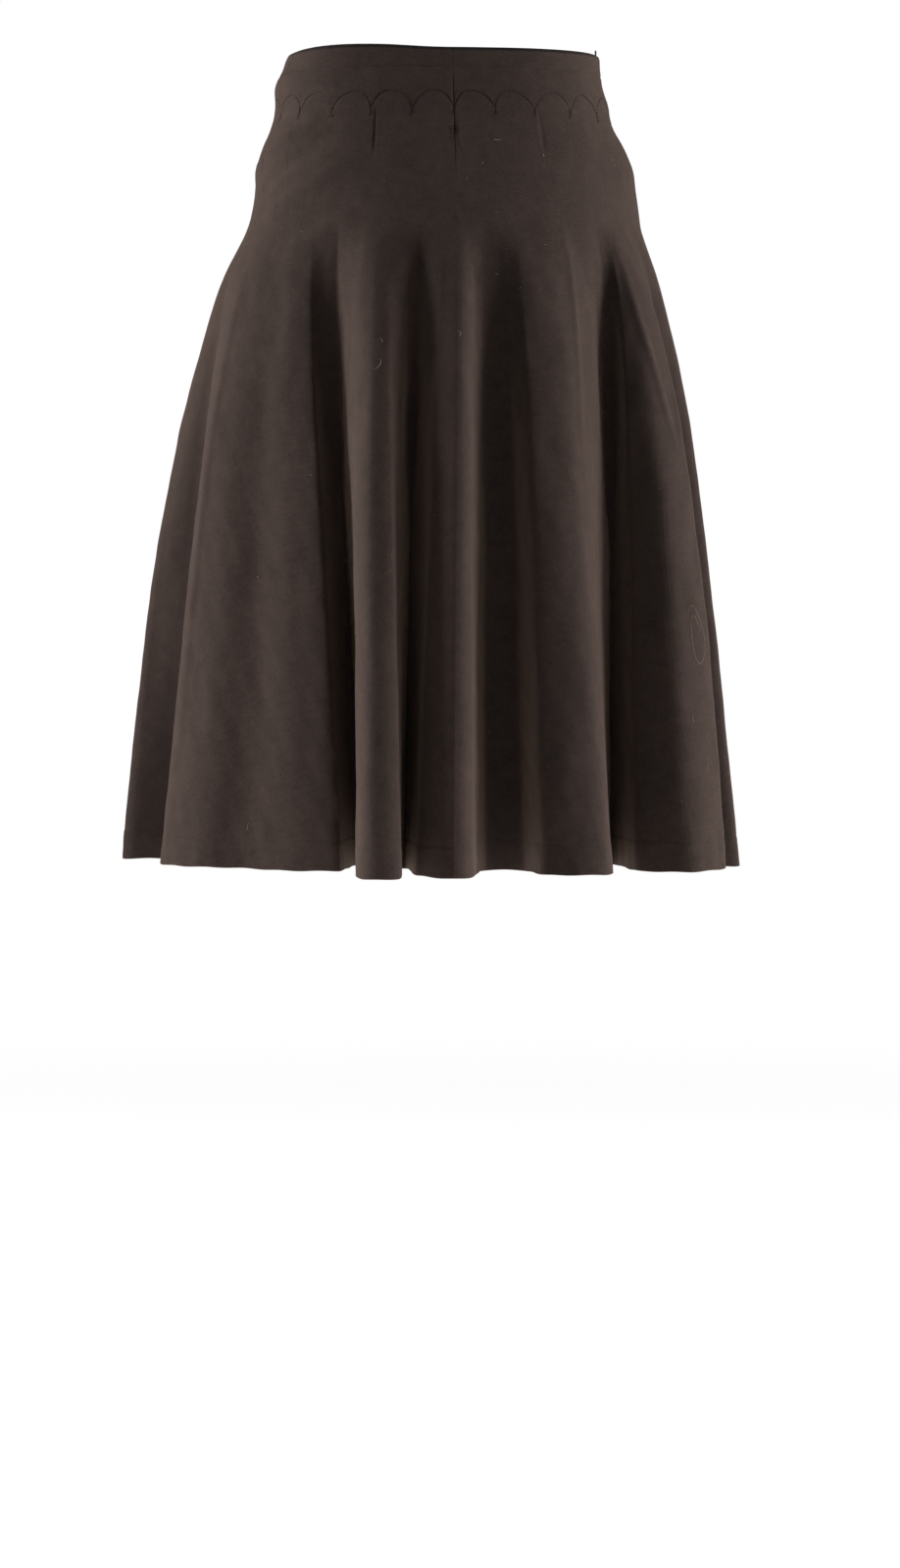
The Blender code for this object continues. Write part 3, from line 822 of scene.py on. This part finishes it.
def skirt_panel(name, first, last, spacing):
    """A piece of the flared skirt, from the scalloped seam down to the hem."""
    threads = columns_between(first, last, spacing)
    seam = scallop_drop(threads)
    high = seam + SEAM_GAP / 2
    fall = LENGTH - SCALLOP_POINT
    near_seam = np.array(SEAM_ROWS_MM) * MM
    near_turn = fall + np.array(HEM_TURN_ROWS_MM) * MM
    near_edge = fall + np.array(HEM_EDGE_ROWS_MM) * MM
    between = np.arange(near_seam[-1] + GRID_DOWN, near_turn[0] - GRID_DOWN / 2, GRID_DOWN)
    in_hem = np.arange(near_turn[-1] + GRID_DOWN, near_edge[0] - GRID_DOWN / 2, GRID_DOWN)
    rows = np.concatenate([near_seam, between, near_turn, in_hem, near_edge])
    ease = step_up(rows, 0.0, 0.5 * fall)[:, None]
    from_hem = fall - rows[:, None]
    drops = (high + rows[:, None]) * (1 - ease) + (LENGTH - from_hem) * ease
    short, long = (np.sin(threads * turns * math.tau) for turns in HEM_WAVER_TURNS)
    waver = HEM_WAVER * short * long
    drops = drops + waver * step_up(rows, 0.8 * fall, fall)[:, None]
    return shell(name, threads, drops, skirt_relief)


def yoke_panel(name, first, last):
    """A piece of the yoke, from the waistband's seam down to the scalloped seam."""
    threads = columns_between(first, last, GRID_ACROSS)
    low = scallop_drop(threads) - SEAM_GAP / 2
    high = BAND_DEPTH + SEAM_GAP / 2
    count = round((SCALLOP_POINT - BAND_DEPTH) / YOKE_GRID_DOWN)
    turn = np.linspace(0.0, math.pi, count)
    crowded = YOKE_CROWDING * (1 - np.cos(turn)) / 2
    fractions = (crowded + (1 - YOKE_CROWDING) * turn / math.pi)[:, None]
    return shell(name, threads, high + (low - high) * fractions, yoke_relief)


def waistband():
    """The narrow band round the waist, open at the centre back, with a dark rim at its top edge."""
    threads = columns_between(0.0, 1.0, GRID_ACROSS)
    depths = np.append(np.array(BAND_ROWS_MM) * MM, BAND_DEPTH - SEAM_GAP / 2)[:, None]
    drops = depths * np.ones_like(threads)
    rise = (1.0 - depths / BAND_DEPTH) * top_rise(threads)
    return shell("cloth_waistband", threads, drops, band_relief, rise, DARK_EDGE_ROWS, straight=True)


def hanger_loop():
    """The loop of flat ribbon inside the wall, with rounded edges."""
    thread = thread_at_bearing(LOOP_BEARING)
    _, _, square = directions(thread, BAND_DEPTH)
    flat = unit(square * [1.0, 1.0, 0.0])
    along = np.array([-flat[1], flat[0], 0.0])
    up = np.array([0.0, 0.0, 1.0])
    seat = WALL + LOOP_CLEARANCE + LOOP_THICKNESS / 2
    half = LOOP_LEG_SPACING / 2
    crown = LOOP_RISE - LOOP_RIBBON / 2 - half
    bend = np.linspace(math.pi, 0.0, LOOP_BEND_STEPS)
    leg = np.linspace(-LOOP_TAIL, 0.0, LOOP_LEG_STEPS, endpoint=False)
    route = [(-half, height) for height in leg]
    route += [(half * math.cos(angle), crown + half * math.sin(angle)) for angle in bend]
    route += [(half, height) for height in leg[::-1]]
    route = np.array(route)
    wall = smooth_point(thread, np.clip(-route[:, 1], 0.0, None)) * [1.0, 1.0, 0.0]
    centre = wall - flat * seat + np.outer(route[:, 0], along) + np.outer(route[:, 1], up)
    heading = unit(np.gradient(route, axis=0))
    side = np.outer(-heading[:, 1], along) + np.outer(heading[:, 0], up)
    turns = np.linspace(0.0, math.tau, LOOP_SIDES, endpoint=False)
    across = np.sign(np.cos(turns)) * np.abs(np.cos(turns)) ** 0.5 * LOOP_RIBBON / 2
    deep = np.sign(np.sin(turns)) * np.abs(np.sin(turns)) ** 0.7 * LOOP_THICKNESS / 2
    rings = centre[:, None] + side[:, None] * across[:, None] + flat * deep[:, None]
    return new_piece("ribbon_loop", rings.reshape(-1, 3).tolist(), tube_faces(len(rings), LOOP_SIDES))


def on_cloth(faces, thread, drop):
    """The place on the built cloth's outer face at a thread and a drop, and the way out of it."""
    thread = thread % 1.0
    for threads, drops, outer, square in faces:
        if not threads[0] <= thread <= threads[-1]:
            continue
        column = min(max(int(np.searchsorted(threads, thread)) - 1, 0), len(threads) - 2)
        share = (thread - threads[column]) / (threads[column + 1] - threads[column])
        sides = []
        for k in (column, column + 1):
            row = np.interp(drop, drops[:, k], np.arange(len(drops)))
            high = min(int(row), len(drops) - 2)
            part = row - high
            sides.append([grid[high, k] * (1 - part) + grid[high + 1, k] * part for grid in (outer, square)])
        low, high = drops[0, column], drops[-1, column]
        if low - 1.5 * MM <= drop <= high + 1.5 * MM:
            place, out = (sides[0][n] * (1 - share) + sides[1][n] * share for n in (0, 1))
            return place, unit(out)
    raise ValueError("no cloth at this thread and drop")


def cloth_width(thread, drop):
    """How wide the cloth is round the ring for each unit of thread, at a place."""
    span = smooth_point(thread + THREAD_STEP, drop) - smooth_point(thread - THREAD_STEP, drop)
    return np.linalg.norm(span) / (2 * THREAD_STEP)


def tubes(name, paths):
    """Thin closed round threads, in one mesh: a path of points, a half thickness and a taper each."""
    vertices = []
    faces = []
    turns = np.linspace(0.0, math.tau, THREAD_SIDES, endpoint=False)
    hint = np.array([0.31, 0.87, 0.39])
    for points, radius, taper in paths:
        points = np.array(points)
        heading = unit(np.gradient(points, axis=0))
        side = unit(np.cross(heading, hint))
        up = np.cross(side, heading)
        share = np.linspace(-1.0, 1.0, len(points))
        reach = radius * (1 - (1 - taper) * share**2)
        rings = points[:, None] + (
            side[:, None] * np.cos(turns)[:, None] + up[:, None] * np.sin(turns)[:, None]
        ) * reach[:, None, None]
        faces += tube_faces(len(points), THREAD_SIDES, len(vertices))
        vertices += rings.reshape(-1, 3).tolist()
    return new_piece(name, vertices, faces)


def scallop_stitches(faces):
    """Stitched arcs along the scallops, each a little wider than its scallop."""
    paths = []
    turn = np.linspace(math.pi, 0.0, ARC_SAMPLES)
    drops = ARC_FOOT + (ARC_TOP - ARC_FOOT) * np.sin(turn)
    for first, last in zip(POINT_THREADS, POINT_THREADS[1:]):
        middle = (first + last) / 2
        threads = middle + ARC_REACH * (last - first) / 2 * np.cos(turn)
        run = run_along(smooth_point(threads, drops))
        for at in np.arange(0.0, run[-1] - STITCH, STITCH + STITCH_GAP):
            steps = at + STITCH * np.array([0.0, 0.3, 0.7, 1.0])
            path = []
            for step, lift in zip(steps, (-0.8, 0.55, 0.55, -0.8)):
                place, out = on_cloth(faces, np.interp(step, run, threads), np.interp(step, run, drops))
                path.append(place + out * THREAD_RADIUS * lift)
            paths.append((path, THREAD_RADIUS, 0.7))
    return paths


def back_bar(faces):
    """The bar of threads across the centre back seam."""
    paths = []
    for drop in np.array(BAR_DROPS_MM) * MM:
        per_thread = cloth_width(0.0, drop)
        path = []
        for across in np.linspace(-1.0, 1.0, 11):
            sloped = drop + BAR_SLOPE * across * math.sin(drop / MM)
            place, out = on_cloth(faces, across * BAR_HALF_WIDTH / per_thread, sloped)
            path.append(place + out * THREAD_RADIUS * (1.6 - 2.4 * across**4))
        paths.append((path, 1.4 * THREAD_RADIUS, 0.6))
    return paths


def lint_path(faces, bearing, drop, length, lean, radius):
    """A short fibre or a speck that lies on the cloth."""
    thread = thread_at_bearing(np.radians(bearing))
    per_thread = cloth_width(thread, drop)
    path = []
    for share in np.linspace(-0.5, 0.5, 6):
        across = math.sin(lean) * length * share + LINT_CURL * length * math.cos(5 * share + bearing)
        fall = math.cos(lean) * length * share
        place, out = on_cloth(faces, thread + across / per_thread, drop + fall)
        path.append(place + out * radius * 1.3)
    return path, radius, 0.35


def lint(faces):
    """Specks and fibres on the cloth, and one long curled hair."""
    paths = [
        lint_path(faces, bearing, drop * MM, length * MM, math.radians(lean), radius * MM)
        for bearing, drop, length, lean, radius in LINT
    ]
    random = np.random.default_rng(LINT_SEED)
    for _ in range(LOOSE_LINT):
        bearing = random.uniform(0.0, 360.0)
        drop = random.uniform(*LOOSE_DROPS_MM) * MM
        length = random.uniform(*LOOSE_LENGTHS_MM) * MM
        lean = random.uniform(0.0, math.pi)
        radius = random.uniform(*LOOSE_RADII_MM) * MM
        paths.append(lint_path(faces, bearing, drop, length, lean, radius))
    middle = thread_at_bearing(math.radians(HAIR_BEARING))
    curl = []
    for turn in np.linspace(0.0, HAIR_TURNS * math.tau, HAIR_STEPS):
        swell = 1.0 - 0.05 * turn + 0.06 * math.sin(3 * turn)
        across = HAIR_HALF_WIDTH * swell * math.sin(turn - 1.2)
        fall = -HAIR_HALF_HEIGHT * swell * math.cos(turn - 1.0)
        place, out = on_cloth(faces, middle + across / cloth_width(middle, HAIR_DROP), HAIR_DROP + fall)
        curl.append(place + out * HAIR_RADIUS * 1.4)
    paths.append((curl, HAIR_RADIUS, 0.5))
    return paths


def node(tree, kind, **values):
    """A shader node with its settings and its unlinked inputs."""
    made = tree.nodes.new(kind)
    for name, value in values.items():
        if name in made.inputs:
            made.inputs[name].default_value = value
        else:
            setattr(made, name, value)
    return made


def maths(tree, operation, first, second=0.0, third=None):
    """One step of arithmetic on numbers or on other nodes' outputs."""
    made = tree.nodes.new("ShaderNodeMath")
    made.operation = operation
    for slot, value in zip(made.inputs, (first, second, third)):
        if isinstance(value, bpy.types.NodeSocket):
            tree.links.new(value, slot)
        elif value is not None:
            slot.default_value = value
    return made.outputs[0]


def mixed(tree, factor, first, second):
    """A colour between two others."""
    made = tree.nodes.new("ShaderNodeMix")
    made.data_type = "RGBA"
    colours = [s for s in made.inputs if s.type == "RGBA"]
    for slot, value in ((made.inputs[0], factor), (colours[0], first), (colours[1], second)):
        if isinstance(value, bpy.types.NodeSocket):
            tree.links.new(value, slot)
        else:
            slot.default_value = value
    return [s for s in made.outputs if s.type == "RGBA"][0]


def noise(tree, vector, scale, detail=2.0, roughness=0.5):
    """A noise pattern's number."""
    made = node(tree, "ShaderNodeTexNoise", Scale=scale, Detail=detail, Roughness=roughness)
    tree.links.new(vector, made.inputs["Vector"])
    return made.outputs["Fac"]


def new_material(name, values):
    """A material with its node tree and its main shader, which has the given values."""
    material = bpy.data.materials.new(name)
    material.use_nodes = True
    tree = material.node_tree
    shader = tree.nodes["Principled BSDF"]
    for socket, value in values.items():
        shader.inputs[socket].default_value = value
    return material, tree, shader


def object_place(tree):
    """Where a point lies in its piece's own measure."""
    return node(tree, "ShaderNodeTexCoord").outputs["Object"]


def bumped(tree, shader, height, strength, distance):
    """Fine relief on the shader."""
    bump = node(tree, "ShaderNodeBump", Strength=strength, Distance=distance)
    tree.links.new(height, bump.inputs["Height"])
    tree.links.new(bump.outputs["Normal"], shader.inputs["Normal"])


def knit_height(tree, flat):
    """The height of plain knit: two slanted legs to a wale, a bulge to a course."""
    parts = node(tree, "ShaderNodeSeparateXYZ")
    tree.links.new(flat, parts.inputs[0])
    wale = maths(tree, "FRACT", maths(tree, "DIVIDE", parts.outputs["X"], WALE))
    lean = maths(tree, "ABSOLUTE", maths(tree, "SUBTRACT", wale, 0.5))
    half = maths(tree, "FRACT", maths(tree, "MULTIPLY", wale, 2.0))
    leg = maths(tree, "SINE", maths(tree, "MULTIPLY", half, math.pi))
    course = maths(tree, "DIVIDE", parts.outputs["Y"], COURSE)
    row = maths(tree, "ADD", course, maths(tree, "MULTIPLY", lean, LEG_LEAN))
    bulge = maths(tree, "SINE", maths(tree, "MULTIPLY", row, math.tau))
    bulge = maths(tree, "MULTIPLY_ADD", bulge, LEG_BULGE, 1 - LEG_BULGE)
    return maths(tree, "MULTIPLY", leg, bulge)


def wool_material():
    """Fine dark brown wool knit, slightly felted, with a soft sheen."""
    material, tree, shader = new_material("brown_wool_knit", WOOL_SHADER)
    knit = knit_height(tree, node(tree, "ShaderNodeUVMap", uv_map="cloth").outputs["UV"])
    place = object_place(tree)
    grain = {name: noise(tree, place, *values) for name, values in WOOL_NOISES.items()}
    patches = maths(tree, "MULTIPLY_ADD", grain["patches"], 0.5, -0.2)
    tone = maths(tree, "MULTIPLY_ADD", grain["heather"], 0.8, patches)
    tone = maths(tree, "ADD", tone, maths(tree, "MULTIPLY_ADD", grain["mottle"], 0.6, -0.3))
    tone = maths(tree, "ADD", tone, maths(tree, "MULTIPLY", knit, 0.12))
    cloth = mixed(tree, tone, *WOOL_COLOURS)
    # The waistband's top edge rows are coloured near black over the wool's tone.
    dark_edge = node(tree, "ShaderNodeAttribute", attribute_name="dark_edge").outputs["Fac"]
    tree.links.new(mixed(tree, dark_edge, cloth, DARK_EDGE_COLOUR), shader.inputs["Base Color"])
    height = maths(tree, "MULTIPLY_ADD", grain["nap"], 1.6, knit)
    height = maths(tree, "MULTIPLY_ADD", grain["felt"], 0.5, height)
    bumped(tree, shader, height, 0.55, 0.35 * MM)
    return material


def fibre_material(name, colours):
    """Sewing thread or loose fibre, its tone a little uneven."""
    material, tree, shader = new_material(name, FIBRE_SHADER)
    place = object_place(tree)
    grain = noise(tree, place, 700.0, 2.0)
    tree.links.new(mixed(tree, grain, *colours), shader.inputs["Base Color"])
    twist = node(tree, "ShaderNodeTexWave", Scale=1600.0, bands_direction="DIAGONAL")
    tree.links.new(place, twist.inputs["Vector"])
    bumped(tree, shader, twist.outputs["Fac"], 0.3, 0.05 * MM)
    return material


def ribbon_material():
    """Near black satin ribbon with fine ribs across it."""
    material, tree, shader = new_material("black_ribbon", RIBBON_SHADER)
    place = object_place(tree)
    grain = noise(tree, place, 900.0, 3.0)
    tree.links.new(mixed(tree, grain, *RIBBON_COLOURS), shader.inputs["Base Color"])
    wave = node(tree, "ShaderNodeTexWave", Scale=700.0, Distortion=0.4, bands_direction="Z")
    tree.links.new(place, wave.inputs["Vector"])
    bumped(tree, shader, wave.outputs["Fac"], 0.4, 0.1 * MM)
    return material


def studio():
    """A pale round floor that fades out at its edge, and white surroundings."""
    turns = np.linspace(0.0, math.tau, FLOOR_SIDES, endpoint=False)
    ring = [(FLOOR_REACH * math.cos(a), FLOOR_REACH * math.sin(a), FLOOR_HEIGHT) for a in turns]
    floor = new_piece("floor", ring, [list(range(FLOOR_SIDES))])
    white, tree, shader = new_material("pale_floor", FLOOR_SHADER)
    out_from_middle = node(tree, "ShaderNodeVectorMath", operation="LENGTH")
    tree.links.new(object_place(tree), out_from_middle.inputs[0])
    ends = {"From Min": FLOOR_FADE_FROM * FLOOR_REACH, "From Max": FLOOR_REACH, "To Min": 1.0, "To Max": 0.0}
    fade = node(tree, "ShaderNodeMapRange", interpolation_type="SMOOTHSTEP", **ends)
    tree.links.new(out_from_middle.outputs["Value"], fade.inputs["Value"])
    tree.links.new(fade.outputs["Result"], shader.inputs["Alpha"])
    floor.data.materials.append(white)

    world = bpy.data.worlds.new("studio")
    world.use_nodes = True
    tree = world.node_tree
    background = tree.nodes["Background"]
    background.inputs["Color"].default_value = WHITE
    background.inputs["Strength"].default_value = FILL
    seen = node(tree, "ShaderNodeBackground", Strength=1.0, Color=WHITE)
    path = node(tree, "ShaderNodeLightPath")
    blend = node(tree, "ShaderNodeMixShader")
    tree.links.new(path.outputs["Is Camera Ray"], blend.inputs[0])
    tree.links.new(background.outputs[0], blend.inputs[1])
    tree.links.new(seen.outputs[0], blend.inputs[2])
    tree.links.new(blend.outputs[0], tree.nodes["World Output"].inputs["Surface"])
    bpy.context.scene.world = world


def area_light(name, place, size, power):
    """A square soft light that faces the skirt."""
    data = bpy.data.lights.new(name, "AREA")
    data.shape = "SQUARE"
    data.size = size
    data.energy = power
    light = placed(name, data)
    light.location = place
    light.rotation_euler = (Vector(LIGHT_TARGET) - place).to_track_quat("-Z", "Y").to_euler()


def camera():
    """The photograph's camera."""
    right = Vector((math.cos(VIEW_TURN), -math.sin(VIEW_TURN), 0.0))
    near = Vector((-math.sin(VIEW_TURN), -math.cos(VIEW_TURN), 0.0))
    data = bpy.data.cameras.new("camera")
    data.sensor_width = 36.0
    data.lens = VIEW_LENS
    data.clip_end = 200.0
    view = placed("camera", data)
    view.location = near * VIEW_DISTANCE + right * VIEW_ASIDE + Vector((0.0, 0.0, VIEW_HEIGHT))
    view.rotation_euler = (math.pi / 2 - VIEW_PITCH, 0.0, -VIEW_TURN)
    bpy.context.scene.camera = view
    return near, right


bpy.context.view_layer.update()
near, right = camera()
studio()
for name, aside, forward, up, size, power in LIGHTS:
    area_light(name, right * aside + near * forward + Vector((0.0, 0.0, up)), size, power)

wool = wool_material()
right_thread, left_thread = thread_at_bearing(np.radians([90.0, 270.0]))
spans = (
    ("back_right", 0.0, right_thread, GRID_ACROSS),
    ("front", right_thread, left_thread, GRID_ACROSS_FRONT),
    ("back_left", left_thread, 1.0, GRID_ACROSS),
)
band, size, area, _ = waistband()
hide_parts("waistband")
cloths = [band]
faces = []
for side, first, last, spacing in spans:
    yoke, size, area, face = yoke_panel("cloth_yoke_" + side, first, last)
    faces.append(face)
    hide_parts("yoke_" + side)
    skirt, size, area, face = skirt_panel("cloth_skirt_" + side, first, last, spacing)
    faces.append(face)
    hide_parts("skirt_" + side)
    cloths += [yoke, skirt]
for piece in cloths:
    piece.data.materials.append(wool)
    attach(piece, "root")

stitches = tubes("stitching", scallop_stitches(faces) + back_bar(faces))
stitches.data.materials.append(fibre_material("brown_thread", THREAD_COLOURS))
fibres = tubes("lint", lint(faces))
fibres.data.materials.append(fibre_material("pale_lint", LINT_COLOURS))
for piece in (stitches, fibres):
    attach(piece, "root")

loop = hanger_loop()
loop.data.materials.append(ribbon_material())
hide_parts("hanger_loop")
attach(loop, "root")

bpy.context.scene.view_settings.view_transform = "Standard"
